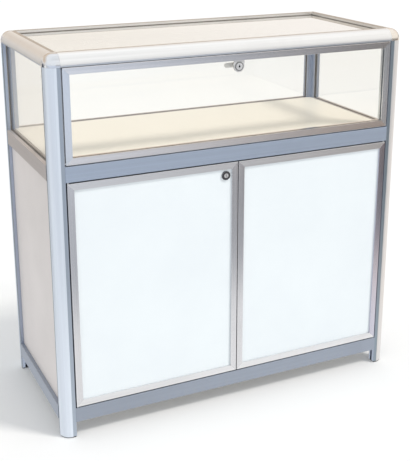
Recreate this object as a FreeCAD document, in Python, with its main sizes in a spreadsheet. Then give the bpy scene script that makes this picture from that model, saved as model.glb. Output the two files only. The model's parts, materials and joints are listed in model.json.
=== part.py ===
import FreeCAD
import Part
import Sketcher
import math
import os

# A free-standing display counter: an aluminium frame of quarter-round posts and rails,
# a glazed display space with a drop-down front flap above, a cupboard with two doors below.
# Millimetres. The origin is on the floor under the middle, the doors face -Y, +X is to the right.

sizes = {
    # overall
    "width": 1000,
    "depth": 450,
    "height": 1000,
    # sections of posts and rails
    "corner_round": 27,  # radius of the rounded corners
    "post_lip": 10,  # flat lip beside the round of a post
    "post_step": 1.2,  # set-back of that lip
    "cap_lip": 4,  # flat strip under the round of a top rail
    "cap_step": 1,  # set-back of that strip
    "cap_flange": 7,  # metal above the top pane
    "stop_drop": 8,  # inner flange of a top rail below its strip
    "outer_wall": 10,  # metal outside a panel groove
    "groove": 8.4,  # width of a panel groove
    "inner_wall": 4.6,  # metal inside a panel groove
    "groove_depth": 12,  # depth of the grooves in the rails
    "spigot_bore": 10,  # round bore in posts and top rails
    "bore_wall": 3.5,  # metal between that bore and a post's grooves
    "rail_height": 40,
    "rail_round": 2,  # front edges of the rails
    "rail_wall": 2,
    "ledge_reach": 10,
    "ledge_thickness": 2.5,
    # levels
    "leg": 43,  # floor to the bottom rails
    "deck_level": 730,  # top of the middle rails
    # feet
    "foot_height": 3,
    "foot_inset": 1.5,
    "foot_stem": 20,
    "spigot_length": 25,
    # panes and boards
    "glass": 5,
    "board": 8,
    "deck_board": 17,
    "deck_gap": 2,
    "edge_gap": 1,
    "gasket_floor": 2,
    # connectors in the ends of the rails
    "lock_block_length": 28,
    "lock_block_fit": 0.2,
    "tongue_length": 10,
    "tongue_height": 8,
    # frames of the doors and the flap
    "leaf_face": 17,
    "leaf_round": 1,
    "leaf_gap": 3,  # round the doors and the flap
    "flap_top_gap": 1.2,
    "meeting_gap": 2,
    "stop_gap": 0.4,  # between a closed leaf and its stop
    "leaf_groove_set": 4,
    "leaf_groove_depth": 9,
    "leaf_board": 5,
    "leaf_board_fit": 0.2,
    "mullion_face": 40,
    "mullion_depth": 20,
    # pivots
    "pin": 4,
    "pin_in_frame": 8,
    "pin_in_leaf": 10,
    "pin_fit": 0.05,
    "pivot_set": 5,  # pivot axis behind the front face
    "pivot_edge": 3.6,  # pivot axis inside the edge of the leaf
    # locks
    "lock_inset": 17,  # door lock to the inner edges of its frame
    "lock_head": 24,
    "lock_head_height": 3.8,
    "lock_head_round": 0.8,
    "lock_barrel": 18,
    "lock_barrel_fit": 0.3,
    "lock_plug": 12,
    "lock_plug_proud": 0.3,
    "lock_nut": 26,
    "lock_nut_height": 4,
    "lock_plate_width": 30,
    "lock_plate": 1.5,
    "lock_boss": 23,
    "key_slot_width": 2,
    "key_slot_length": 8,
    "key_slot_depth": 4,
    "cam_width": 12,
    "door_cam_reach": 41,
    "flap_cam_reach": 30,
    "cam_thickness": 2.5,
    "cam_gap": 2.4,  # between the cam and the rail that it catches
    "cam_play": 0.3,  # between the cam and the end of the lock's barrel
    "cam_spigot": 8,
    "cam_spigot_end": 2,
}

doc = FreeCAD.newDocument("display_counter")
sheet = doc.addObject("Spreadsheet::Sheet", "Sizes")
for row, (alias, number) in enumerate(sizes.items(), start=1):
    sheet.set(f"A{row}", alias)
    sheet.set(f"B{row}", str(number))
    sheet.setAlias(f"B{row}", alias)
doc.recompute()


class Size:
    # A length from the sheet, or a sum of such lengths: the words of its expression and its number.
    def __init__(self, words, number):
        self.words = words
        self.number = number

    def join(self, sign, other, number):
        return Size(f"({self.words} {sign} {asSize(other).words})", number)

    def __add__(self, other):
        return self.join("+", other, self.number + asSize(other).number)

    def __sub__(self, other):
        return self.join("-", other, self.number - asSize(other).number)

    def __mul__(self, other):
        return self.join("*", other, self.number * asSize(other).number)

    def __truediv__(self, other):
        return self.join("/", other, self.number / asSize(other).number)

    def __neg__(self):
        return Size(f"(-{self.words})", -self.number)


def asSize(value):
    return value if isinstance(value, Size) else Size(str(value), value)


def size(alias):
    return Size(f"Sizes.{alias}", float(sizes[alias]))


zero = asSize(0)
width = size("width")
depth = size("depth")
cornerRound = size("corner_round")
post = cornerRound + size("post_lip")
lip = size("outer_wall")
groove = size("groove")
behind = lip + groove
inner = behind + size("inner_wall")
grooveDepth = size("groove_depth")
railHeight = size("rail_height")
railWall = size("rail_wall")
bore = size("spigot_bore")
boreSet = inner - size("bore_wall") - bore / 2
leg = size("leg")
deckLevel = size("deck_level")
cap = cornerRound + size("cap_lip")
capLevel = size("height") - cap
cupboardTop = deckLevel - railHeight
cupboardBottom = leg + railHeight
footHeight = size("foot_height")
pinFit = size("pin_fit")
drop = size("stop_drop")
capBoreLevel = grooveDepth + railWall + bore / 2
paneLevel = cap - size("cap_flange") - groove
leafGap = size("leaf_gap")
leafFace = size("leaf_face")
leafDepth = behind - size("stop_gap")
leafBoard = size("leaf_board")
leafBoardFit = size("leaf_board_fit")
leafGroove = leafBoard + leafBoardFit * 2
panelFront = size("leaf_groove_set") + leafBoardFit
panelBack = panelFront + leafBoard
pivotSet = size("pivot_set")
pivotEdge = size("pivot_edge")
pin = size("pin")

# The four sides, each seen from outside with its own X to the right, Y inwards and Z up:
# the name of the side, the name of the corner at its left end, its turn and its length.
sides = [
    ("front", "front_left", 0, width),
    ("right", "front_right", 90, depth),
    ("rear", "rear_right", 180, width),
    ("left", "rear_left", 270, depth),
]
up = FreeCAD.Vector(0, 0, 1)


def bind(thing, **lengths):
    for name, value in lengths.items():
        thing.setExpression(name, asSize(value).words)


def moveTo(thing, x, y, z, axis=up, angle=0):
    # The expressions drive the place, the rotation is fixed.
    thing.Placement = FreeCAD.Placement(FreeCAD.Vector(), FreeCAD.Rotation(axis, angle))
    for name, value in zip("xyz", (x, y, z)):
        thing.setExpression(f"Placement.Base.{name}", asSize(value).words)
    return thing


def moveToSide(thing, turn, x, y, z):
    # x along the side from its left corner, y inwards from its outer face
    x = asSize(x)
    y = asSize(y)
    places = {
        0: (x - width / 2, y - depth / 2),
        90: (width / 2 - y, x - depth / 2),
        180: (width / 2 - x, depth / 2 - y),
        270: (y - width / 2, depth / 2 - x),
    }
    return moveTo(thing, *places[turn], z, up, turn)


def newBody(label):
    body = doc.addObject("PartDesign::Body", label)
    body.Label = label
    return body


# An outline is a list of corners, a circle is a tuple of its centre and radius
def arcTo(u, v, centreU, centreV):
    # end of an arc that turns left on its way from the corner before it
    return (u, v, centreU, centreV)


def circle(u, v, radius):
    return (u, v, radius)


def addSketch(body, role, loops, lift=zero):
    # lift moves the sketch along the plane's own normal
    sketch = body.newObject("Sketcher::SketchObject", "Sketch")
    plane = [f for f in body.Origin.OriginFeatures if f.Role == role][0]
    sketch.AttachmentSupport = (plane, [""])
    sketch.MapMode = "FlatFace"
    sketch.setExpression("AttachmentOffset.Base.z", lift.words)
    for loop in loops:
        if isinstance(loop, tuple):
            drawCircle(sketch, *loop)
        else:
            drawOutline(sketch, loop)
    return sketch


def hold(sketch, kind, geometry, point, value):
    # a distance from the sketch's origin, driven by the sheet
    value = asSize(value)
    index = sketch.addConstraint(Sketcher.Constraint(kind, -1, 1, geometry, point, value.number))
    sketch.setExpression(f"Constraints[{index}]", value.words)


def drawCircle(sketch, u, v, radius):
    centre = FreeCAD.Vector(asSize(u).number, asSize(v).number, 0)
    geometry = sketch.addGeometry(Part.Circle(centre, up, radius.number))
    hold(sketch, "DistanceX", geometry, 3, u)
    hold(sketch, "DistanceY", geometry, 3, v)
    index = sketch.addConstraint(Sketcher.Constraint("Radius", geometry, radius.number))
    sketch.setExpression(f"Constraints[{index}]", radius.words)


def arcBetween(start, end, centre):
    first = math.atan2(start.y - centre.y, start.x - centre.x)
    last = math.atan2(end.y - centre.y, end.x - centre.x)
    return Part.ArcOfCircle(Part.Circle(centre, up, (start - centre).Length), first, last)


def drawOutline(sketch, outline):
    count = len(outline)
    first = sketch.GeometryCount
    spots = [FreeCAD.Vector(asSize(p[0]).number, asSize(p[1]).number, 0) for p in outline]
    edges = []
    for i in range(count):
        nextOne = outline[(i + 1) % count]
        start = spots[i]
        end = spots[(i + 1) % count]
        if len(nextOne) == 4:
            centre = FreeCAD.Vector(asSize(nextOne[2]).number, asSize(nextOne[3]).number, 0)
            edges.append(arcBetween(start, end, centre))
        else:
            edges.append(Part.LineSegment(start, end))
    sketch.addGeometry(edges)
    pairs = [(first + i, first + (i + 1) % count) for i in range(count)]
    sketch.addConstraint([Sketcher.Constraint("Coincident", a, 2, b, 1) for a, b in pairs])
    for i in range(count):
        hold(sketch, "DistanceX", first + i, 1, outline[i][0])
        hold(sketch, "DistanceY", first + i, 1, outline[i][1])
        nextOne = outline[(i + 1) % count]
        if len(nextOne) == 4:
            # with both ends held, one coordinate settles the centre: the one across the chord
            chord = spots[(i + 1) % count] - spots[i]
            if abs(chord.y) >= abs(chord.x):
                hold(sketch, "DistanceX", first + i, 3, nextOne[2])
            else:
                hold(sketch, "DistanceY", first + i, 3, nextOne[3])


def addPad(body, role, loops, length, lift=zero, backwards=False):
    pad = body.newObject("PartDesign::Pad", "Pad")
    pad.Profile = addSketch(body, role, loops, lift)
    pad.Reversed = backwards
    bind(pad, Length=length)
    return pad


def addPocket(body, role, loops, length, lift=zero, backwards=False):
    # a pocket runs against the plane's normal unless it is set backwards
    pocket = body.newObject("PartDesign::Pocket", "Pocket")
    pocket.Profile = addSketch(body, role, loops, lift)
    pocket.Reversed = backwards
    bind(pocket, Length=length)
    return pocket


def rectangle(u0, v0, u1, v1):
    return [(u0, v0), (u1, v0), (u1, v1), (u0, v1)]


def addBox(label, length, across, tall):
    box = doc.addObject("Part::Box", label)
    box.Label = label
    bind(box, Length=length, Width=across, Height=tall)
    return box


def cutAway(label, base, tool):
    cut = doc.addObject("Part::Cut", label)
    cut.Base = base
    cut.Tool = tool
    cut.Label = label
    return cut


def gather(label, things):
    group = doc.addObject("Part::Compound", label)
    group.Links = things
    group.Label = label
    return group


parts = []


def keep(thing):
    parts.append(thing)
    return thing


# Posts: quarter-round outside, a panel groove towards each neighbour, a bore for foot and corner
def postOutline():
    step = size("post_step")
    return [
        (post, step),
        (post, lip),
        (inner, lip),
        (inner, behind),
        (post, behind),
        (post, inner),
        (inner, inner),
        (inner, post),
        (behind, post),
        (behind, inner),
        (lip, inner),
        (lip, post),
        (step, post),
        (step, cornerRound),
        (0, cornerRound),
        arcTo(cornerRound, 0, cornerRound, cornerRound),
        (cornerRound, step),
    ]


def drillForFlapPin(body, corner):
    # blind hole in the lip that faces the flap, at the height of its pivot
    level = flapBottom + pivotEdge - footHeight
    hole = pin / 2 + pinFit
    if corner == "front_left":
        addPocket(body, "YZ_Plane", [circle(pivotSet, level, hole)], size("pin_in_frame"), post)
    if corner == "front_right":
        addPocket(body, "XZ_Plane", [circle(pivotSet, level, hole)], size("pin_in_frame"), -post, True)


def makePost(corner, turn):
    body = newBody(f"corner_post_{corner}")
    addPad(body, "XY_Plane", [postOutline(), circle(boreSet, boreSet, bore / 2)], capLevel - footHeight)
    drillForFlapPin(body, corner)
    return moveToSide(body, turn, 0, 0, footHeight)


# Feet: plastic pads under the posts, each with a stem in the post's bore
def makeFoot(corner, turn):
    inset = size("foot_inset")
    outline = [
        (post - inset, inset),
        (post - inset, inner - inset),
        (inner - inset, inner - inset),
        (inner - inset, post - inset),
        (inset, post - inset),
        (inset, cornerRound),
        arcTo(cornerRound, inset, cornerRound, cornerRound),
    ]
    body = newBody(f"foot_{corner}")
    addPad(body, "XY_Plane", [outline], footHeight)
    addPad(body, "XY_Plane", [circle(boreSet, boreSet, bore / 2 - pinFit)], footHeight + size("foot_stem"))
    return moveToSide(body, turn, 0, 0, 0)


# Middle and bottom rails: panel grooves above and below, a chamber between, a ledge for the boards
def railOutline():
    ledgeTop = railHeight - size("deck_board")
    ledgeBottom = ledgeTop - size("ledge_thickness")
    ledgeEnd = inner + size("ledge_reach")
    edge = size("rail_round")
    return [
        (lip, 0),
        (lip, grooveDepth),
        (behind, grooveDepth),
        (behind, 0),
        (inner, 0),
        (inner, ledgeBottom),
        (ledgeEnd, ledgeBottom),
        (ledgeEnd, ledgeTop),
        (inner, ledgeTop),
        (inner, railHeight),
        (behind, railHeight),
        (behind, railHeight - grooveDepth),
        (lip, railHeight - grooveDepth),
        (lip, railHeight),
        (edge, railHeight),
        arcTo(0, railHeight - edge, edge, railHeight - edge),
        (0, edge),
        arcTo(edge, 0, edge, edge),
    ]


chamberBottom = grooveDepth + railWall
chamberTop = railHeight - grooveDepth - railWall


def makeRail(kind, side, turn, length, level):
    body = newBody(f"{kind}_rail_{side}")
    chamber = rectangle(railWall, chamberBottom, inner - railWall, chamberTop)
    addPad(body, "YZ_Plane", [railOutline(), chamber], length - post * 2)
    return moveToSide(body, turn, post, 0, level)


def drillForDoorPins(rail, level, upwards):
    # one blind hole near each end of a front rail, for the pins of the doors
    hole = pin / 2 + pinFit
    near = leafGap + pivotEdge
    far = width - post * 2 - near
    spots = [circle(near, pivotSet, hole), circle(far, pivotSet, hole)]
    addPocket(rail, "XY_Plane", spots, size("pin_in_frame"), level, upwards)


# Top rails: quarter-round outside, a groove inwards for the top pane, one downwards for the side pane
def topRailOutline():
    lipLevel = drop
    roundLevel = drop + size("cap_lip")
    paneBottom = drop + paneLevel
    paneTop = paneBottom + groove
    step = size("cap_step")
    paneFloor = post - grooveDepth
    return [
        (step, lipLevel),
        (lip, lipLevel),
        (lip, lipLevel + grooveDepth),
        (behind, lipLevel + grooveDepth),
        (behind, 0),
        (inner, 0),
        (inner, paneBottom - size("inner_wall")),
        (post, paneBottom - size("inner_wall")),
        (post, paneBottom),
        (paneFloor, paneBottom),
        (paneFloor, paneTop),
        (post, paneTop),
        (post, drop + cap),
        (cornerRound, drop + cap),
        arcTo(0, roundLevel, cornerRound, roundLevel),
        (step, roundLevel),
    ]


def makeTopRail(side, turn, length):
    body = newBody(f"top_rail_{side}")
    hole = circle(boreSet, drop + capBoreLevel, bore / 2)
    addPad(body, "YZ_Plane", [topRailOutline(), hole], length - post * 2)
    return moveToSide(body, turn, post, 0, capLevel - drop)


# Top corners: rounded three ways, spigots into the post and both rails, clearance for the panes
def edgesOfRound(shape):
    # the upright edge at the outer corner and the two top edges that meet it
    names = []
    for index, edge in enumerate(shape.Edges, start=1):
        ends = [v.Point for v in edge.Vertexes]
        onX = all(abs(p.x) < 1e-6 for p in ends)
        onY = all(abs(p.y) < 1e-6 for p in ends)
        onTop = all(abs(p.z - cap.number) < 1e-6 for p in ends)
        if onX + onY + onTop == 2:
            names.append(f"Edge{index}")
    return names


def makeTopCorner(corner, turn):
    body = newBody(f"top_corner_{corner}")
    block = addPad(body, "XY_Plane", [rectangle(0, 0, post, post)], cap)
    doc.recompute()
    rounded = body.newObject("PartDesign::Fillet", "Round")
    rounded.Base = (block, edgesOfRound(block.Shape))
    bind(rounded, Radius=cornerRound)
    slots = [rectangle(lip, inner, behind, post), rectangle(inner, lip, post, behind)]
    for slot in slots:
        addPocket(body, "XY_Plane", [slot], grooveDepth, zero, True)
    paneFloor = post - grooveDepth
    addPocket(body, "XY_Plane", [rectangle(paneFloor, paneFloor, post, post)], groove, paneLevel, True)
    underPane = paneLevel - size("inner_wall")
    addPocket(body, "XY_Plane", [rectangle(inner, inner, post, post)], underPane, zero, True)
    spigot = bore / 2 - pinFit
    reach = size("spigot_length")
    addPad(body, "XY_Plane", [circle(boreSet, boreSet, spigot)], reach, zero, True)
    addPad(body, "YZ_Plane", [circle(boreSet, capBoreLevel, spigot)], reach, post)
    addPad(body, "XZ_Plane", [circle(boreSet, capBoreLevel, spigot)], reach, -post, True)
    return moveToSide(body, turn, 0, 0, capLevel)


# Connectors: a block in each end of a middle or bottom rail, with a tongue in the post's groove
def makeConnector(turn, start, pointsBack, level):
    fit = size("lock_block_fit")
    long = size("lock_block_length")
    reach = size("tongue_length")
    high = size("tongue_height")
    tall = chamberTop - chamberBottom - fit
    block = addBox("connector_block", long, inner - railWall * 2 - fit * 2, tall)
    tongue = addBox("connector_tongue", reach, groove - fit * 2, high)
    middle = chamberBottom + (tall - high) / 2
    bodyStart = start if pointsBack else start - long
    tongueStart = start - reach if pointsBack else start
    moveToSide(block, turn, bodyStart, railWall + fit, level + chamberBottom)
    moveToSide(tongue, turn, tongueStart, lip + fit, level + middle)
    joined = doc.addObject("Part::Fuse", "connector")
    joined.Base = block
    joined.Tool = tongue
    return joined


# Panes and boards that stand in the grooves of one side
def makePane(label, turn, length, thick, edge, bottom, top):
    # edge is where the pane starts, from the outer corner
    pane = addBox(label, length - edge * 2, thick, top - bottom)
    return moveToSide(pane, turn, edge, lip + (groove - thick) / 2, bottom)


def makeGasket(label, window, slot, outer):
    frame = cutAway(f"{label}_frame", outer, window)
    return cutAway(label, frame, slot)


glass = size("glass")
gasketFloor = size("gasket_floor")
paneEdge = post - grooveDepth + gasketFloor
paneBottom = deckLevel - grooveDepth + gasketFloor
paneTop = capLevel + grooveDepth - gasketFloor


def makeSidePane(side, turn, length):
    keep(makePane(f"{side}_glass", turn, length, glass, paneEdge, paneBottom, paneTop))
    slot = makePane("gasket_slot", turn, length, glass, paneEdge, paneBottom, paneTop)
    outside = [paneEdge - gasketFloor, paneBottom - gasketFloor, paneTop + gasketFloor]
    outer = makePane("gasket_outside", turn, length, groove, *outside)
    window = makePane("gasket_window", turn, length, groove, post, deckLevel, capLevel)
    keep(makeGasket(f"{side}_glass_gasket", window, slot, outer))


def makeSideBoard(side, turn, length):
    edge = inner + size("edge_gap")
    bottom = cupboardBottom - grooveDepth
    top = cupboardTop + grooveDepth - size("edge_gap")
    return makePane(f"{side}_panel", turn, length, size("board"), edge, bottom, top)


def makeFlatPane(label, edge, thick, level):
    pane = addBox(label, width - edge * 2, depth - edge * 2, thick)
    return moveTo(pane, edge - width / 2, edge - depth / 2, level)


def makeTopPane():
    level = capLevel + paneLevel
    edge = post - grooveDepth + gasketFloor
    seat = level + (groove - glass) / 2
    keep(makeFlatPane("top_glass", edge, glass, seat))
    slot = makeFlatPane("gasket_slot", edge, glass, seat)
    outer = makeFlatPane("gasket_outside", edge - gasketFloor, groove, level)
    window = makeFlatPane("gasket_window", post, groove, level)
    keep(makeGasket("top_glass_gasket", window, slot, outer))


# Frames of the doors and the flap: one grooved bar, mitred at both ends.
# Its own X runs along the outer edge, Y into the depth and Z from the outer edge inwards.
def leafOutline():
    grooveStart = size("leaf_groove_set")
    grooveFloor = leafFace - size("leaf_groove_depth")
    leafRound = size("leaf_round")
    return [
        (leafDepth, 0),
        (leafDepth, leafFace),
        (grooveStart + leafGroove, leafFace),
        (grooveStart + leafGroove, grooveFloor),
        (grooveStart, grooveFloor),
        (grooveStart, leafFace),
        (0, leafFace),
        (0, leafRound),
        arcTo(leafRound, 0, leafRound, leafRound),
    ]


def makeBar(label, length):
    body = newBody(label)
    addPad(body, "YZ_Plane", [leafOutline()], length)
    mitres = [
        [(0, 0), (leafFace, leafFace), (0, leafFace)],
        [(length, 0), (length, leafFace), (length - leafFace, leafFace)],
    ]
    for mitre in mitres:
        addPocket(body, "XZ_Plane", [mitre], leafDepth)
    return body


def drillEdge(bar, length, atEnd):
    # pivot hole from the outer edge inwards, near one end
    along = length - pivotEdge if atEnd else pivotEdge
    hole = circle(along, pivotSet, pin / 2 + pinFit)
    addPocket(bar, "XY_Plane", [hole], size("pin_in_leaf"), zero, True)


def drillEnd(bar, length, atEnd):
    # the same hole where it runs on into the neighbouring bar, from its end
    hole = circle(pivotSet, pivotEdge, pin / 2 + pinFit)
    lift = length if atEnd else zero
    addPocket(bar, "YZ_Plane", [hole], size("pin_in_leaf"), lift, not atEnd)


across = FreeCAD.Vector(0, 1, 0)
frontFace = -depth / 2


def makeLeafFrame(names, left, right, bottom, top):
    # bars in the order bottom, top, left, right
    wide = right - left
    tall = top - bottom
    bars = [makeBar(name, length) for name, length in zip(names, (wide, wide, tall, tall))]
    moveTo(bars[0], left, frontFace, bottom, across, 0)
    moveTo(bars[1], right, frontFace, top, across, 180)
    moveTo(bars[2], left, frontFace, top, across, 90)
    moveTo(bars[3], right, frontFace, bottom, across, -90)
    for bar in bars:
        keep(bar)
    return bars


def makeLeafPanel(label, left, right, bottom, top, lockAt=None):
    # the panel stands on the floor of the bottom bar's groove
    floor = leafFace - size("leaf_groove_depth")
    gap = size("edge_gap")
    panel = addBox(label, right - left - (floor + gap) * 2, leafBoard, top - bottom - floor * 2 - gap)
    moveTo(panel, left + floor + gap, frontFace + panelFront, bottom + floor)
    if lockAt is None:
        return keep(panel)
    hole = doc.addObject("Part::Cylinder", "lock_hole")
    bind(hole, Radius=size("lock_barrel") / 2 + size("lock_barrel_fit"), Height=leafDepth)
    moveTo(hole, lockAt[0], frontFace, lockAt[1], FreeCAD.Vector(1, 0, 0), -90)
    panel.Label = f"{label}_blank"
    return keep(cutAway(label, panel, hole))


# Locks, made along their own Z, which points from the front face into the counter
headFront = panelFront - size("lock_head_height")
camFront = inner + size("cam_gap")
camBack = camFront + size("cam_thickness")
barrelEnd = camFront - size("cam_play")
plugBore = size("lock_plug") / 2 + pinFit
barrel = size("lock_barrel") / 2


def moveLock(thing, lockAt):
    return keep(moveTo(thing, lockAt[0], frontFace, lockAt[1], FreeCAD.Vector(1, 0, 0), -90))


def makeLockBody(label, lockAt):
    head = size("lock_head") / 2
    edge = size("lock_head_round")
    section = [
        (plugBore, headFront),
        (head - edge, headFront),
        arcTo(head, headFront + edge, head - edge, headFront + edge),
        (head, panelFront),
        (barrel, panelFront),
        (barrel, barrelEnd),
        (plugBore, barrelEnd),
    ]
    body = newBody(label)
    turned = body.newObject("PartDesign::Revolution", "Turned")
    turned.Profile = addSketch(body, "XZ_Plane", [section])
    turned.ReferenceAxis = ([f for f in body.Origin.OriginFeatures if f.Role == "Z_Axis"][0], [""])
    turned.Angle = 360
    return moveLock(body, lockAt)


def makeLockHousing(label, lockAt):
    # a plate that hangs from the frame, round below, with a boss before it and the barrel behind it
    half = size("lock_plate_width") / 2
    plateFront = panelFront - size("lock_plate")
    plate = [(-half, -half), (half, -half), (half, 0), arcTo(-half, 0, 0, 0)]
    body = newBody(label)
    bored = circle(0, 0, plugBore)
    addPad(body, "XY_Plane", [plate, bored], panelFront - plateFront, plateFront)
    addPad(body, "XY_Plane", [circle(0, 0, size("lock_boss") / 2), bored], plateFront - headFront, headFront)
    addPad(body, "XY_Plane", [circle(0, 0, barrel), bored], barrelEnd - panelFront, panelFront)
    return moveLock(body, lockAt)


def makeLockNut(label, lockAt):
    corner = size("lock_nut") / 2 / math.cos(math.radians(30))
    turns = [math.radians(60 * i) for i in range(6)]
    hexagon = [(corner * math.cos(a), corner * math.sin(a)) for a in turns]
    body = newBody(label)
    addPad(body, "XY_Plane", [hexagon, circle(0, 0, barrel + pinFit)], size("lock_nut_height"), panelBack)
    return moveLock(body, lockAt)


def makeLockPlug(label, lockAt):
    face = headFront - size("lock_plug_proud")
    spigotEnd = camBack + size("cam_spigot_end")
    slotWide = size("key_slot_width") / 2
    slotLong = size("key_slot_length") / 2
    body = newBody(label)
    addPad(body, "XY_Plane", [circle(0, 0, size("lock_plug") / 2)], camFront - face, face)
    addPad(body, "XY_Plane", [circle(0, 0, size("cam_spigot") / 2)], spigotEnd - camFront, camFront)
    slot = rectangle(-slotWide, -slotLong, slotWide, slotLong)
    addPocket(body, "XY_Plane", [slot], size("key_slot_depth"), face, True)
    return moveLock(body, lockAt)


def makeLockCam(label, lockAt, reach):
    # unlocked, the cam lies level; a quarter turn brings it up behind the rail
    half = size("cam_width") / 2
    tip = half - reach
    outline = [(0, -half), arcTo(0, half, 0, 0), (tip, half), arcTo(tip, -half, tip, 0)]
    body = newBody(label)
    hole = circle(0, 0, size("cam_spigot") / 2 + pinFit)
    addPad(body, "XY_Plane", [outline, hole], size("cam_thickness"), camFront)
    return moveLock(body, lockAt)


# Places of the doors, the flap and their locks
openingLeft = post - width / 2
openingRight = width / 2 - post
leafLeft = openingLeft + leafGap
leafRight = openingRight - leafGap
meeting = size("meeting_gap") / 2
doorBottom = cupboardBottom + leafGap
doorTop = cupboardTop - leafGap
flapBottom = deckLevel + leafGap
flapTop = capLevel - size("flap_top_gap")
lockInset = size("lock_inset")
doorLock = (-meeting - leafFace - lockInset, doorTop - leafFace - lockInset)
flapLock = (zero, flapTop - leafFace - size("lock_plate_width") / 2)

# Frame
for side, corner, turn, length in sides:
    keep(makePost(corner, turn))
for side, corner, turn, length in sides:
    bottomRail = keep(makeRail("bottom", side, turn, length, leg))
    midRail = keep(makeRail("mid", side, turn, length, cupboardTop))
    if side == "front":
        drillForDoorPins(bottomRail, railHeight, False)
        drillForDoorPins(midRail, zero, True)
for side, corner, turn, length in sides:
    keep(makeTopRail(side, turn, length))
    keep(makeTopCorner(corner, turn))
keep(gather("post_feet", [makeFoot(corner, turn) for side, corner, turn, length in sides]))
connectors = []
for side, corner, turn, length in sides:
    for level in (leg, cupboardTop):
        connectors.append(makeConnector(turn, post, True, level))
        connectors.append(makeConnector(turn, length - post, False, level))
keep(gather("rail_connectors", connectors))

# Panes and boards
for side, corner, turn, length in sides[1:]:
    makeSidePane(side, turn, length)
    keep(makeSideBoard(side, turn, length))
makeTopPane()
deckEdge = inner + size("deck_gap")
deckBoard = size("deck_board")
keep(makeFlatPane("deck_panel", deckEdge, deckBoard, deckLevel - deckBoard))
keep(makeFlatPane("base_panel", deckEdge, deckBoard, cupboardBottom - deckBoard))

# Centre post behind the meeting stiles, which the doors close against
mullion = keep(newBody("door_mullion"))
face = size("mullion_face")
thick = size("mullion_depth")
hollow = rectangle(railWall, railWall, face - railWall, thick - railWall)
addPad(mullion, "XY_Plane", [rectangle(0, 0, face, thick), hollow], cupboardTop - cupboardBottom)
moveTo(mullion, -face / 2, frontFace + behind, cupboardBottom)

# Doors: the left one turns on its left stile and has the lock, the right one on its right stile
leftDoor = (leafLeft, -meeting, doorBottom, doorTop)
leftNames = ["bottom_rail", "top_rail", "hinge_stile", "lock_stile"]
bars = makeLeafFrame([f"left_door_{name}" for name in leftNames], *leftDoor)
leftWide = leftDoor[1] - leftDoor[0]
doorTall = doorTop - doorBottom
drillEdge(bars[0], leftWide, False)
drillEdge(bars[1], leftWide, True)
drillEnd(bars[2], doorTall, False)
drillEnd(bars[2], doorTall, True)
makeLeafPanel("left_door_panel", *leftDoor, doorLock)

rightDoor = (meeting, leafRight, doorBottom, doorTop)
rightNames = ["bottom_rail", "top_rail", "meeting_stile", "hinge_stile"]
bars = makeLeafFrame([f"right_door_{name}" for name in rightNames], *rightDoor)
rightWide = rightDoor[1] - rightDoor[0]
drillEdge(bars[0], rightWide, True)
drillEdge(bars[1], rightWide, False)
drillEnd(bars[3], doorTall, False)
drillEnd(bars[3], doorTall, True)
makeLeafPanel("right_door_panel", *rightDoor)

# Flap: a framed pane that turns on its lower corners
flap = (leafLeft, leafRight, flapBottom, flapTop)
flapNames = ["bottom_rail", "top_rail", "left_stile", "right_stile"]
bars = makeLeafFrame([f"flap_{name}" for name in flapNames], *flap)
flapWide = flap[1] - flap[0]
flapTall = flapTop - flapBottom
drillEnd(bars[0], flapWide, False)
drillEnd(bars[0], flapWide, True)
drillEdge(bars[2], flapTall, True)
drillEdge(bars[3], flapTall, False)
makeLeafPanel("flap_glass", *flap, flapLock)

# Locks
makeLockBody("door_lock_body", doorLock)
makeLockHousing("flap_lock_housing", flapLock)
for name, lockAt in (("door", doorLock), ("flap", flapLock)):
    makeLockNut(f"{name}_lock_nut", lockAt)
    makeLockPlug(f"{name}_lock_plug", lockAt)
    makeLockCam(f"{name}_lock_cam", lockAt, size(f"{name}_cam_reach"))

# Pivot pins: two upright ones for each door, two level ones for the flap
pinLength = size("pin_in_frame") + leafGap + size("pin_in_leaf")
pins = []


def makePin(x, z, axis, angle):
    shaft = doc.addObject("Part::Cylinder", "pivot_pin")
    bind(shaft, Radius=pin / 2, Height=pinLength)
    pins.append(moveTo(shaft, x, frontFace + pivotSet, z, axis, angle))


for x in (leafLeft + pivotEdge, leafRight - pivotEdge):
    makePin(x, cupboardBottom - size("pin_in_frame"), up, 0)
    makePin(x, cupboardTop + size("pin_in_frame") - pinLength, up, 0)
flapPivot = flapBottom + pivotEdge
makePin(openingLeft - size("pin_in_frame"), flapPivot, across, 90)
makePin(openingRight + size("pin_in_frame") - pinLength, flapPivot, across, 90)
keep(gather("pivot_pins", pins))

doc.recompute()
for thing in doc.Objects:
    if "Invalid" in thing.State or "Error" in thing.State:
        raise RuntimeError(f"{thing.Label} failed: {thing.State}")
os.makedirs("parts", exist_ok=True)
for thing in parts:
    if thing.Shape.isNull() or not thing.Shape.isValid():
        raise RuntimeError(f"{thing.Label} has no valid shape")
    thing.Shape.exportStep(os.path.join("parts", f"{thing.Label}.step"))
print(len(parts), "sub-parts")
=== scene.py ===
import json
import math

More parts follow.
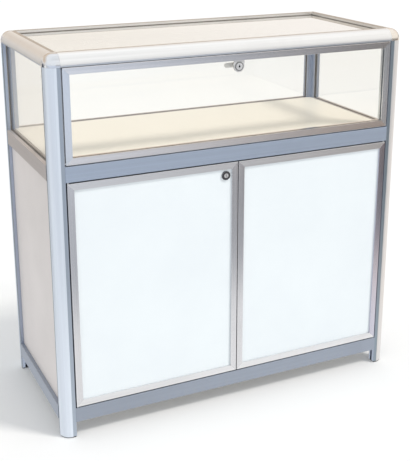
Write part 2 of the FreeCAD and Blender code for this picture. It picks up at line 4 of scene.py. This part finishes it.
import bpy
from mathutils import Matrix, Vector


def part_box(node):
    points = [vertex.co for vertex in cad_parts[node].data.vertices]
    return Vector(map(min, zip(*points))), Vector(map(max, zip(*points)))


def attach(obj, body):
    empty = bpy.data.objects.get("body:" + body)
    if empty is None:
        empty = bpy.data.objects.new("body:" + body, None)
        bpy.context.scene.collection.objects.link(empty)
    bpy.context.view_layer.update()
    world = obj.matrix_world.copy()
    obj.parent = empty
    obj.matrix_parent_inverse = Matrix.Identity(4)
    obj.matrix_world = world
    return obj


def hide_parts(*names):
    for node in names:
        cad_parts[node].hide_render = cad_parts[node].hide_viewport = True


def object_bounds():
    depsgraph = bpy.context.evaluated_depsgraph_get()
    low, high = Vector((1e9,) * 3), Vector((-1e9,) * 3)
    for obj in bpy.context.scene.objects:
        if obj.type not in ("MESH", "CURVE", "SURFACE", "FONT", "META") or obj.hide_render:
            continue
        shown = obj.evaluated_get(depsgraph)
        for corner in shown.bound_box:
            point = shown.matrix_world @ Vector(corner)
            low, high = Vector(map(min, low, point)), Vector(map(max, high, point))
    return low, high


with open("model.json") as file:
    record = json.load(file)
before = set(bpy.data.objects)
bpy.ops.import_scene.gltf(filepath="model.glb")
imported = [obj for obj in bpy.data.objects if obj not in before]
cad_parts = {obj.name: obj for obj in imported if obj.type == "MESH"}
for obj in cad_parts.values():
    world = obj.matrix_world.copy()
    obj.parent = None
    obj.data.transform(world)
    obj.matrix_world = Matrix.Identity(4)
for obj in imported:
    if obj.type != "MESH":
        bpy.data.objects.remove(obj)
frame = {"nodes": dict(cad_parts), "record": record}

# Display counter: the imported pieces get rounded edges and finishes, then a studio round them.

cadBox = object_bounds()
nodes = frame["nodes"]
bodies = {n: body for body, members in frame["record"]["behaviour"]["bodies"].items() for n in members}
slots = {n: o.data.materials[0].name for n, o in nodes.items()}
millimetre = 0.001
print("loaded", len(nodes), "pieces")


class Wire:
    # one socket of a node tree; sums and products of wires add Math nodes
    def __init__(self, tree, socket):
        self.tree = tree
        self.socket = socket

    def feed(self, socket, value):
        if isinstance(value, Wire):
            self.tree.links.new(value.socket, socket)
        elif socket.type == "RGBA" and len(value) == 3:
            socket.default_value = (*value, 1)
        else:
            socket.default_value = value

    def node(self, kind, settings=None, values=None, out=0):
        made = self.tree.nodes.new("ShaderNode" + kind)
        for key, value in (settings or {}).items():
            setattr(made, key, value)
        enabled = [s for s in made.inputs if s.enabled]
        for key, value in (values or {}).items():
            isNumber = isinstance(key, int)
            socket = made.inputs[key] if isNumber else next(s for s in enabled if s.name == key)
            self.feed(socket, value)
        shown = [s for s in made.outputs if s.enabled]
        return Wire(self.tree, made.outputs[out] if isinstance(out, str) else shown[out])

    def maths(self, operation, first, second):
        return self.node("Math", {"operation": operation}, {0: first, 1: second})

    def __add__(self, other):
        return self.maths("ADD", self, other)

    def __radd__(self, other):
        return self.maths("ADD", other, self)

    def __sub__(self, other):
        return self.maths("SUBTRACT", self, other)

    def __rsub__(self, other):
        return self.maths("SUBTRACT", other, self)

    def __mul__(self, other):
        return self.maths("MULTIPLY", self, other)

    def most(self, other):
        return self.maths("MAXIMUM", self, other)

    def vector(self, operation, values=None):
        return self.node("VectorMath", {"operation": operation}, {0: self, **(values or {})})

    def between(self, low, high):
        # 0 at low, 1 at high, held there beyond
        return self.node("MapRange", {"clamp": True}, {"Value": self, "From Min": low, "From Max": high})

    def blend(self, first, second):
        # from the first colour to the second as this goes from 0 to 1
        return self.node("Mix", {"data_type": "RGBA"}, {"Factor": self, "A": first, "B": second})

    def noise(self, scale, detail, rough):
        values = {"Vector": self, "Scale": scale, "Detail": detail, "Roughness": rough}
        return self.node("TexNoise", None, values)

    def stretched(self, scale):
        return self.node("Mapping", None, {"Vector": self, "Scale": scale})

    def bump(self, strength, distance):
        return self.node("Bump", None, {"Height": self, "Strength": strength, "Distance": distance})

    def part(self, axis):
        return self.node("SeparateXYZ", None, {"Vector": self}, axis)


def startFinish(name):
    finish = bpy.data.materials.new(name)
    finish.use_nodes = True
    tree = finish.node_tree
    tree.nodes.clear()
    place = tree.nodes.new("ShaderNodeTexCoord")
    return finish, Wire(tree, place.outputs["Object"])


def closeFinish(finish, shader):
    out = finish.node_tree.nodes.new("ShaderNodeOutputMaterial")
    shader.feed(out.inputs["Surface"], shader)
    return finish


# In all finishes a noise is given as scale per metre, detail and roughness, a bump as strength and metres.
noiseMiddle = 0.5
maskSoft = 0.3 * millimetre  # over which a mask goes from 0 to 1

# Anodised aluminium: die lines along the section, broad streaks and a few dull patches.
# Each section's tone, the share of it that mirrors, its roughness, and the depth of its die lines.
# A post has a darker tone on the lips beside its round: painted shade.
aluminium = {
    "post": {"tone": (0.78, 0.84, 0.93), "metal": 0.36, "rough": 0.38, "lines": 0.10,
             "lip": (0.44, 0.50, 0.58)},
    # right posts: the warm tone is painted light and reflection from the warm right side, the lips painted
    # shade
    "warmLitPost": {"tone": (0.72, 0.70, 0.69), "metal": 0.3, "rough": 0.38, "lines": 0.10,
                 "lip": (0.30, 0.36, 0.42)},
    "cap": {"tone": (0.87, 0.855, 0.84), "metal": 0.72, "rough": 0.38, "lines": 0.08},
    # front top rail: the cap finish painted whiter, painted light on the lit front
    "litFrontCap": {"tone": (0.905, 0.905, 0.905), "metal": 0.72, "rough": 0.38, "lines": 0.08},
    "corner": {"tone": (0.78, 0.80, 0.83), "metal": 1.0, "rough": 0.2, "lines": 0.03},
    # right top corners: the warm tone is painted light from the right side
    "warmLitCorner": {"tone": (0.90, 0.855, 0.80), "metal": 0.9, "rough": 0.25, "lines": 0.03},
    "rail": {"tone": (0.43, 0.50, 0.62), "metal": 0.5, "rough": 0.46, "lines": 0.14},
    # side and rear mid rails: the rail finish painted warm grey, a painted reflection
    "warmReflectionRail": {"tone": (0.59, 0.545, 0.53), "metal": 0.5, "rough": 0.46, "lines": 0.14},
    # bottom rails: the rail finish painted darker, painted shade near the floor
    "shadedPlinth": {"tone": (0.36, 0.40, 0.475), "metal": 0.5, "rough": 0.46, "lines": 0.14},
    # flap frame: the door frame aluminium painted lighter and bluer, a painted reflection
    "flapReflectionStile": {"tone": (0.79, 0.83, 0.88), "metal": 0.9, "rough": 0.24, "lines": 0.10},
    "flapReflectionBar": {"tone": (0.87, 0.86, 0.86), "metal": 0.96, "rough": 0.2, "lines": 0.10},
    "stile": {"tone": (0.76, 0.76, 0.78), "metal": 0.95, "rough": 0.22, "lines": 0.10},
    # right door's hinge stile: the stile finish painted darker, a painted reflection
    "darkReflectionStile": {"tone": (0.64, 0.63, 0.72), "metal": 0.95, "rough": 0.22, "lines": 0.10},
    "bar": {"tone": (0.84, 0.84, 0.85), "metal": 0.85, "rough": 0.30, "lines": 0.10},
}
dieLine = {"across": 900, "along": 2.5, "noise": (1, 3, 0.6), "shade": 0.4, "rough": 0.08, "relief": 0.7}
streak = {"across": 110, "along": 1.2, "noise": (1, 2, 0.5), "shade": 0.6, "rough": 0.12, "relief": 0.3}
dullPatch = {"noise": (7, 4, 0.55), "range": (0.56, 0.75), "shade": 0.05, "rough": 0.06}
drawn = {"darkest": 0.9, "range": (0.3, 0.7), "swing": 0.16, "depth": 0.0002}
postRound = 27  # millimetres, as the other lengths here
# The flats of a post, painted darker as painted shade: the lips that face sideways, and all that lies further
# in than the skin.
# The inner corner starts deep behind the round.
lip = {"sideLipShade": (0.27, 0.31, 0.36), "innerFlatShade": (0.47, 0.53, 0.65), "metal": 0.7, "skin": 2, "deep": 14}
capLipShade = {"top": 973.5, "soft": 1, "tone": (0.65, 0.69, 0.75)}  # the flat strip under a top rail's round
# the flat strip under a top rail's round, painted darker: painted shade
capStrip = {"thick": 1.2, "tone": (0.54, 0.48, 0.42), "faceShadeTone": (0.80, 0.77, 0.74)}


def alongAxis(axis, pattern):
    return [pattern["along"] if a == axis else pattern["across"] for a in "XYZ"]


def setIn(distance):
    # the far corner of the counter's box, moved inwards in plan
    return cadBox[1] - Vector((distance, distance, 0)) * millimetre


def onLip(place):
    # three masks on a post for its painted shade: its flats, the flats that lie outside, and those that face
    # sideways
    reach = place.vector("ABSOLUTE")
    reachX = reach.part("X")
    reachY = reach.part("Y")
    inside = setIn(postRound)
    flat = (inside.x - reachX).most(inside.y - reachY).between(0, maskSoft)
    deep = setIn(lip["deep"])
    corner = reachX.between(deep.x, deep.x - maskSoft) * reachY.between(deep.y, deep.y - maskSoft)
    skin = setIn(lip["skin"])
    outside = (reachX - skin.x).most(reachY - skin.y).between(0, maskSoft)
    sideways = reachX.between(skin.x, skin.x + maskSoft)
    return flat.most(corner), outside, sideways


def onStrip(place, axis):
    # two masks on a top rail: its inner side, which gets painted shade, and the flat strip on top of that
    across = "Y" if axis == "X" else "X"
    reach = place.vector("ABSOLUTE").part(across)
    inside = setIn(postRound)["XYZ".index(across)]
    top = cadBox[1].z - capStrip["thick"] * millimetre
    inner = reach.between(inside, inside - maskSoft)
    return inner, inner * place.part("Z").between(top, top + maskSoft)


def makeAluminium(kind, axis):
    look = aluminium[kind]
    finish, place = startFinish(f"{kind}Aluminium{axis}")
    lines = place.stretched(alongAxis(axis, dieLine)).noise(*dieLine["noise"])
    bands = place.stretched(alongAxis(axis, streak)).noise(*streak["noise"])
    worn = place.noise(*dullPatch["noise"]).between(*dullPatch["range"])
    main = look["tone"]
    metal = look["metal"]
    # painted shade: a post's lips and inner flats get darker tones than its round
    if "lip" in look:
        flat, outside, sideways = onLip(place)
        shadedLips = sideways.blend(look["lip"], lip["sideLipShade"])
        main = flat.blend(main, outside.blend(lip["innerFlatShade"], shadedLips))
        metal = metal + flat * (lip["metal"] - metal)
    elif kind in ("cap", "litFrontCap"):
        # painted shade: a darker strip under the round of a top rail
        lipEnd = capLipShade["top"] - capLipShade["soft"]
        low = place.part("Z").between(capLipShade["top"] * millimetre, lipEnd * millimetre)
        main = low.blend(main, capLipShade["tone"])
        # painted shade on the inner face of a top rail
        inner, strip = onStrip(place, axis)
        main = strip.blend(inner.blend(main, capStrip["faceShadeTone"]), capStrip["tone"])
    grain = (bands * streak["shade"] + lines * dieLine["shade"]).between(*drawn["range"])
    shade = drawn["darkest"] + grain * drawn["swing"] - worn * dullPatch["shade"]
    tone = place.node("VectorMath", {"operation": "SCALE"}, {0: main, "Scale": shade})
    rough = look["rough"] + (bands - noiseMiddle) * streak["rough"] + (lines - noiseMiddle) * dieLine["rough"]
    rough = rough + worn * dullPatch["rough"]
    relief = (lines * dieLine["relief"] + bands * streak["relief"]).bump(look["lines"], drawn["depth"])
    shader = place.node("BsdfPrincipled", None, {
        "Base Color": tone, "Metallic": metal, "Roughness": rough, "Normal": relief})
    return closeFinish(finish, shader)


# Boards: melamine facing with a fine orange peel and faint rubs.
boards = {
    "doorBoard": {"tone": (0.89, 0.94, 0.97), "shade": (0.86, 0.91, 0.945), "rough": 0.36},
    # side boards: a pale board colour painted greyer and warmer, painted shade of the dimmer, warmer side
    # light
    "shadedSideBoard": {"tone": (0.805, 0.75, 0.73), "shade": (0.75, 0.70, 0.68), "rough": 0.42},
    "deckBoard": {"tone": (0.955, 0.91, 0.81), "shade": (0.92, 0.875, 0.775), "rough": 0.38},
}
cloud = {"noise": (4.5, 4, 0.55), "range": (0.35, 0.7), "rough": 0.14}
peel = {"noise": (1400, 2, 0.5), "bump": (0.06, 0.0002)}
rub = {"stretch": (2, 30, 60), "noise": (1, 3, 0.6), "range": (0.58, 0.72), "share": 0.18, "rough": 0.08}


def makeBoard(name):
    look = boards[name]
    finish, place = startFinish(name)
    clouds = place.noise(*cloud["noise"])
    rubs = place.stretched(rub["stretch"]).noise(*rub["noise"]).between(*rub["range"])
    tone = clouds.between(*cloud["range"]).blend(look["tone"], look["shade"])
    tone = (rubs * rub["share"]).blend(tone, look["shade"])
    rough = look["rough"] + (clouds - noiseMiddle) * cloud["rough"] + rubs * rub["rough"]
    relief = place.noise(*peel["noise"]).bump(*peel["bump"])
    shader = place.node("BsdfPrincipled", None, {"Base Color": tone, "Roughness": rough, "Normal": relief})
    return closeFinish(finish, shader)


# Glass: clear, mirrored by angle and most at a glance, a little haze where it was wiped.
glass = {
    "cast": (0.997, 0.993, 0.982),
    "index": 1.5,
    "gloss": (0.97, 0.975, 0.97),
    "rough": 0.015,
    "glance": (0.77, 0.86),
    "glanceShare": 0.9,
}
haze = {"stretch": (3, 3, 9), "noise": (1, 4, 0.6), "range": (0.5, 0.8), "mirror": 0.02, "rough": 0.05}


def makeGlass():
    finish, place = startFinish("paneGlass")
    wiped = place.stretched(haze["stretch"]).noise(*haze["noise"]).between(*haze["range"])
    inside = place.node("NewGeometry", None, None, "Backfacing")
    index = glass["index"] + inside * (1 / glass["index"] - glass["index"])  # alike from both faces
    mirror = place.node("Fresnel", None, {"IOR": index}) + wiped * haze["mirror"]
    glance = place.node("LayerWeight", None, None, "Facing").between(*glass["glance"]) * glass["glanceShare"]
    mirror = mirror + glance * (1 - mirror)
    light = place.node("LightPath", None, None, "Is Shadow Ray")
    light = light.most(place.node("LightPath", None, None, "Is Diffuse Ray"))
    clear = place.node("BsdfTransparent", None, {"Color": glass["cast"]})
    gloss = place.node("BsdfPrincipled", None, {
        "Base Color": glass["gloss"], "Roughness": glass["rough"] + wiped * haze["rough"],
        "Specular IOR Level": 1.0, "Metallic": 1.0})
    shader = place.node("MixShader", None, {0: mirror * (1 - light), 1: clear, 2: gloss})
    return closeFinish(finish, shader)


# Rubber and plastic: dark and dull, finely grained, a little dusty.
blacks = {
    "gasketRubber": {"tone": (0.24, 0.22, 0.20), "rough": 0.6, "noise": (900, 2, 0.5)},
    "footPlastic": {"tone": (0.03, 0.032, 0.035), "rough": 0.5, "noise": (1500, 2, 0.5)},
}
blackBump = (0.2, 0.0003)
dust = {"noise": (40, 4, 0.6), "range": (0.5, 0.85), "share": 0.3, "tone": (0.16, 0.16, 0.155), "rough": 0.15}


def makeBlack(name):
    look = blacks[name]
    finish, place = startFinish(name)
    dusty = place.noise(*dust["noise"]).between(*dust["range"])
    tone = (dusty * dust["share"]).blend(look["tone"], dust["tone"])
    rough = look["rough"] + (dusty - noiseMiddle) * dust["rough"]
    relief = place.noise(*look["noise"]).bump(*blackBump)
    shader = place.node("BsdfPrincipled", None, {"Base Color": tone, "Roughness": rough, "Normal": relief})
    return closeFinish(finish, shader)


# Bright and plated metal of the locks and the hidden fittings.
# A shade ring is a darker ring round the flap lock's axis, painted shade where a groove would be: from and to
# in millimetres, and its grey.
plated = {
    # door lock head: chrome painted near black, a painted reflection of dark surroundings
    "darkReflectionChrome": {"tone": (0.20, 0.20, 0.21), "metal": 1.0, "rough": 0.12},
    "lockSatin": {"tone": (0.88, 0.87, 0.87), "metal": 0.5, "rough": 0.3, "shadeRing": (8.6, 12, 0.30)},
    "lockPlugMetal": {"tone": (0.86, 0.86, 0.86), "metal": 0.7, "rough": 0.24},
    # flap lock plug: a dark dot painted as the shade inside its keyhole
    "keyholePlug": {"tone": (0.88, 0.88, 0.88), "metal": 0.6, "rough": 0.24, "shadeRing": (-1, 2.8, 0.03)},
    "connectorSteel": {"tone": (0.94, 0.94, 0.93), "metal": 0.12, "rough": 0.42},
}
shadeRingSoft = 0.4 * millimetre
tarnish = {"noise": (260, 4, 0.6), "range": (0.3, 0.7), "dark": 0.86, "rough": 0.08}
scuff = {"stretch": (900, 900, 3000), "noise": (1, 2, 0.5), "range": (0.6, 0.8), "rough": 0.08,
         "bump": (0.04, 0.0001)}


def paintedShadeRing(place, start, end):
    # mask of a painted shade ring round the flap lock's axis
    low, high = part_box("flap_lock_plug")
    across = place.vector("SUBTRACT", {1: (low + high) / 2}).vector("MULTIPLY", {1: (1, 0, 1)})
    radius = across.vector("LENGTH")
    begun = radius.between(start * millimetre, start * millimetre + shadeRingSoft)
    return begun - radius.between(end * millimetre - shadeRingSoft, end * millimetre)


def makePlated(name):
    look = plated[name]
    finish, place = startFinish(name)
    dulled = place.noise(*tarnish["noise"])
    scuffs = place.stretched(scuff["stretch"]).noise(*scuff["noise"])
    dark = [c * tarnish["dark"] for c in look["tone"]]
    tone = dulled.between(*tarnish["range"]).blend(dark, look["tone"])
    # painted shade: a darker ring at the cylinder's groove, a dark dot at the keyhole
    if "shadeRing" in look:
        start, end, grey = look["shadeRing"]
        tone = paintedShadeRing(place, start, end).blend(tone, (grey, grey, grey))
    rough = look["rough"] + (dulled - noiseMiddle) * tarnish["rough"]
    rough = rough + scuffs.between(*scuff["range"]) * scuff["rough"]
    relief = scuffs.bump(*scuff["bump"])
    shader = place.node("BsdfPrincipled", None, {
        "Base Color": tone, "Metallic": look["metal"], "Roughness": rough, "Normal": relief})
    return closeFinish(finish, shader)


finishes = {"paneGlass": makeGlass()}
for name in boards:
    finishes[name] = makeBoard(name)
for name in blacks:
    finishes[name] = makeBlack(name)
for name in plated:
    finishes[name] = makePlated(name)
print("finishes", len(finishes))


# Which finish each packed slot takes, and the width of its rounded edges in millimetres.
looks = {
    "post_aluminium": {"finish": "post", "edge": 0.6},
    "cap_aluminium": {"finish": "cap", "edge": 0.8},
    "rail_aluminium": {"finish": "rail", "edge": 0.4},
    "leaf_aluminium": {"finish": "stile", "edge": 0.3},
    "foot_plastic": {"finish": "footPlastic", "edge": 0.4},
    "connector_steel": {"finish": "connectorSteel", "edge": 0},
    "pane_glass": {"finish": "paneGlass", "edge": 0},
    "gasket_rubber": {"finish": "gasketRubber", "edge": 0},
    "side_board": {"finish": "shadedSideBoard", "edge": 0.4},
    "door_board": {"finish": "doorBoard", "edge": 0.4},
    "deck_board": {"finish": "deckBoard", "edge": 0.5},
    "lock_chrome": {"finish": "darkReflectionChrome", "edge": 0.25},
    "lock_plug_metal": {"finish": "lockPlugMetal", "edge": 0.2},
}
# Pieces that differ from their slot, by the start of their names; the first that fits counts.
otherFinish = {
    "corner_post_front_right": "warmLitPost",
    "corner_post_rear_right": "warmLitPost",
    "top_corner_front_right": "warmLitCorner",
    "top_corner_rear_right": "warmLitCorner",
    "top_corner": "corner",
    "top_rail_front": "litFrontCap",
    "bottom_rail": "shadedPlinth",
    "mid_rail_left": "warmReflectionRail",
    "mid_rail_right": "warmReflectionRail",
    "mid_rail_rear": "warmReflectionRail",
    "right_door_hinge_stile": "darkReflectionStile",
    "flap_left_stile": "flapReflectionStile",
    "flap_right_stile": "flapReflectionStile",
    "flap_top_rail": "flapReflectionBar",
    "flap_bottom_rail": "flapReflectionBar",
    "flap_lock_housing": "lockSatin",
    "flap_lock_plug": "keyholePlug",
}


def longestAxis(node):
    low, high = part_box(node)
    spans = list(high - low)
    return "XYZ"[spans.index(max(spans))]


def finishOf(node):
    others = [finish for start, finish in otherFinish.items() if node.startswith(start)]
    look = others[0] if others else looks[slots[node]]["finish"]
    if look not in aluminium:
        return finishes[look]
    axis = longestAxis(node)
    if look == "stile" and axis == "X":
        look = "bar"
    if (look, axis) not in finishes:
        finishes[look, axis] = makeAluminium(look, axis)
    return finishes[look, axis]


def selectOnly(thing):
    bpy.ops.object.select_all(action="DESELECT")
    thing.select_set(True)
    bpy.context.view_layer.objects.active = thing


# Points nearer than this (metres) are merged; angles in degrees: faces flatter than this are joined,
# edges sharper than this are rounded, and those up to the last are shaded smooth.
rounding = {"merge": 1e-6, "flat": 0.5, "sharp": 35, "smooth": 50, "segments": 2}


def roundEdges(node, edge):
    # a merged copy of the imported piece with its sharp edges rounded
    piece = bpy.data.objects.new(f"{node}_rounded", nodes[node].data.copy())
    bpy.context.scene.collection.objects.link(piece)
    selectOnly(piece)
    bpy.ops.mesh.customdata_custom_splitnormals_clear()
    bpy.ops.object.mode_set(mode="EDIT")
    bpy.ops.mesh.select_all(action="SELECT")
    bpy.ops.mesh.remove_doubles(threshold=rounding["merge"])
    bpy.ops.mesh.dissolve_limited(angle_limit=math.radians(rounding["flat"]))
    bpy.ops.object.mode_set(mode="OBJECT")
    bevel = piece.modifiers.new("edges", "BEVEL")
    bevel.width = edge * millimetre
    bevel.segments = rounding["segments"]
    bevel.limit_method = "ANGLE"
    bevel.angle_limit = math.radians(rounding["sharp"])
    bpy.ops.object.modifier_apply(modifier=bevel.name)
    bpy.ops.object.shade_smooth_by_angle(angle=math.radians(rounding["smooth"]), keep_sharp_edges=False)
    flat = piece.modifiers.new("flats", "WEIGHTED_NORMAL")
    flat.keep_sharp = True
    bpy.ops.object.modifier_apply(modifier=flat.name)
    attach(piece, bodies[node])
    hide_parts(node)
    return piece


for node in sorted(nodes):
    edge = looks[slots[node]]["edge"]
    piece = roundEdges(node, edge) if edge else nodes[node]
    piece.data.materials.clear()
    piece.data.materials.append(finishOf(node))
print("edges rounded,", len(finishes), "finishes in use")


# Studio: white paper under the counter that keeps its shadow, a soft key from the front right,
# white all round. Mirrors see a room: white paper, a darker floor before it, a wall behind
# with a pale band low down, and a white ceiling.
studio = {
    "floorSize": 60,
    "floorTone": (0.80, 0.80, 0.80),
    "floorNoise": (2, 3, 0.5),
    "floorShade": 0.98,
    "floorLift": 0.12,  # added for what is seen, so that the lit floor is white
    "fill": 0.82,
    "fillTone": (0.95, 0.98, 1.0),
    "key": 1.5,
    "keyTone": (1.0, 0.965, 0.91),
    "keyFrom": (0.462, -0.416, 0.785),
    "keyAngle": 12,
}
# The mirrored floor from the counter forwards: where each stretch starts (metres), its tones left and right.
floorStretches = [
    {"start": (-0.75, -1.15), "left": (0.52, 0.54, 0.58), "right": (0.15, 0.13, 0.12), "across": (0.1, 1.8)},
    {"start": (-2.3, -2.6), "left": (0.85, 0.87, 0.92), "right": (0.50, 0.36, 0.25), "across": (0.1, 2.0)},
    {"start": (-2.7, -3.4), "left": (0.76, 0.83, 0.96), "right": (0.10, 0.085, 0.075), "across": (1.0, 4.0)},
]
floorRight = {"start": (0.62, 0.95), "tone": (1.0, 0.88, 0.79)}
floorBehind = {"start": (0.6, 2.2), "tone": (0.72, 0.67, 0.61)}
# a dark wedge of the floor that spreads from the front left post to the left and back
floorWedge = {"from": (-0.5, -0.2), "slope": 0.5, "soft": (0, 0.3), "tone": (0.04, 0.06, 0.09)}
white = (1, 1, 1)
# The mirrored wall from the horizon upwards, by the height of the ray.
wallBands = [
    {"start": (-1, -0.9), "left": (0.62, 0.60, 0.60), "right": (0.12, 0.11, 0.10), "across": (0.2, 0.6)},
    {"start": (0.08, 0.12), "left": (0.97, 0.91, 0.825), "right": (1.0, 0.95, 0.90), "across": (0.2, 0.55)},
    {"start": (0.18, 0.24), "left": (0.75, 0.60, 0.46), "right": (0.78, 0.66, 0.56), "across": (0.2, 0.55)},
    {"start": (0.45, 0.75), "left": white, "right": white, "across": (0, 1)},
]
# The mirrored room before the counter, cooler on the left and warmer on the right.
# At its end the wall begins.
roomFront = {
    "left": (0.96, 0.98, 1.0),
    "right": (1.0, 0.95, 0.88),
    "across": (0.25, 0.65),
    "end": (-0.1, 0.4),
}


def rayKinds(tree):
    path = tree.nodes.new("ShaderNodeLightPath")
    return [Wire(tree, path.outputs[f"Is {kind} Ray"]) for kind in ("Camera", "Transmission", "Glossy")]


def sideToSide(across, tones):
    return across.between(*tones["across"]).blend(tones["left"], tones["right"])


def laidBands(bands, tone, along, across):
    # each band lies over the ones before it from its start on
    for band in bands:
        tone = along.between(*band["start"]).blend(tone, sideToSide(across, band))
    return tone


def onWedge(ahead, across):
    startX, startY = floorWedge["from"]
    left = startX - across
    back = ahead - startY
    wedge = (left - back * floorWedge["slope"]).between(*floorWedge["soft"])
    return wedge * (back - left * floorWedge["slope"]).between(*floorWedge["soft"])


def mirroredFloor(place):
    ahead = place.part("Y")
    across = place.part("X")
    paper = across.between(*floorRight["start"]).blend(white, floorRight["tone"])
    paper = ahead.between(*floorBehind["start"]).blend(paper, floorBehind["tone"])
    paper = onWedge(ahead, across).blend(paper, floorWedge["tone"])
    return laidBands(floorStretches, paper, ahead, across)


def mirroredWall(towards):
    across = towards.part("X")
    wall = laidBands(wallBands, white, towards.part("Z"), across)
    return towards.part("Y").between(*roomFront["end"]).blend(sideToSide(across, roomFront), wall)


def layFloor():
    bpy.ops.object.select_all(action="DESELECT")
    bpy.ops.mesh.primitive_plane_add(size=studio["floorSize"])
    floor = bpy.context.object
    floor.name = "studioFloor"
    finish, place = startFinish("floorPaper")
    camera, clear, mirror = rayKinds(place.tree)
    shade = [c * studio["floorShade"] for c in studio["floorTone"]]
    tone = place.noise(*studio["floorNoise"]).blend(studio["floorTone"], shade)
    paper = place.node("BsdfDiffuse", None, {"Color": tone})
    glow = place.node("Emission", None, {"Strength": camera.most(clear) * studio["floorLift"]})
    lit = place.node("AddShader", None, {0: paper, 1: glow})
    mirrored = place.node("Emission", None, {"Color": mirroredFloor(place)})
    shader = place.node("MixShader", None, {0: mirror, 1: lit, 2: mirrored})
    floor.data.materials.append(closeFinish(finish, shader))


def lightWorld():
    world = bpy.data.worlds.new("studioWorld")
    bpy.context.scene.world = world
    world.use_nodes = True
    tree = world.node_tree
    tree.nodes.clear()
    camera, clear, mirror = rayKinds(tree)
    seen = camera.most(clear).most(mirror)
    towards = camera.node("TexCoord", None, None, "Generated")
    tone = mirror.blend(seen.blend(studio["fillTone"], white), mirroredWall(towards))
    strength = studio["fill"] + seen * (1 - studio["fill"])
    sky = seen.node("Background", None, {"Color": tone, "Strength": strength})
    out = tree.nodes.new("ShaderNodeOutputWorld")
    sky.feed(out.inputs["Surface"], sky)


def hangKey():
    lamp = bpy.data.lights.new("keyLight", "SUN")
    lamp.energy = studio["key"]
    lamp.color = studio["keyTone"]
    lamp.angle = math.radians(studio["keyAngle"])
    holder = bpy.data.objects.new("keyLight", lamp)
    holder.rotation_euler = Vector(studio["keyFrom"]).to_track_quat("Z", "Y").to_euler()
    holder.visible_glossy = False  # no glints along the edges
    bpy.context.scene.collection.objects.link(holder)


layFloor()
lightWorld()
hangKey()
print("studio lit")

# Camera near the photograph's place; angles in degrees, lens and sensor in millimetres.
view = {
    "place": (-1.0637, -2.2700, 1.3595),
    "pitch": 16.69,
    "yaw": 25.32,
    "lens": 72.41,
    "sensor": 36,
    "shiftY": -0.135,
}


def setCamera():
    lens = bpy.data.cameras.new("photoCamera")
    lens.lens = view["lens"]
    lens.sensor_width = view["sensor"]
    lens.shift_y = view["shiftY"]
    holder = bpy.data.objects.new("photoCamera", lens)
    holder.location = view["place"]
    holder.rotation_euler = (math.radians(90 - view["pitch"]), 0, -math.radians(view["yaw"]))
    bpy.context.scene.collection.objects.link(holder)
    bpy.context.scene.camera = holder


setCamera()
bpy.context.scene.view_settings.view_transform = "Standard"
print("done")
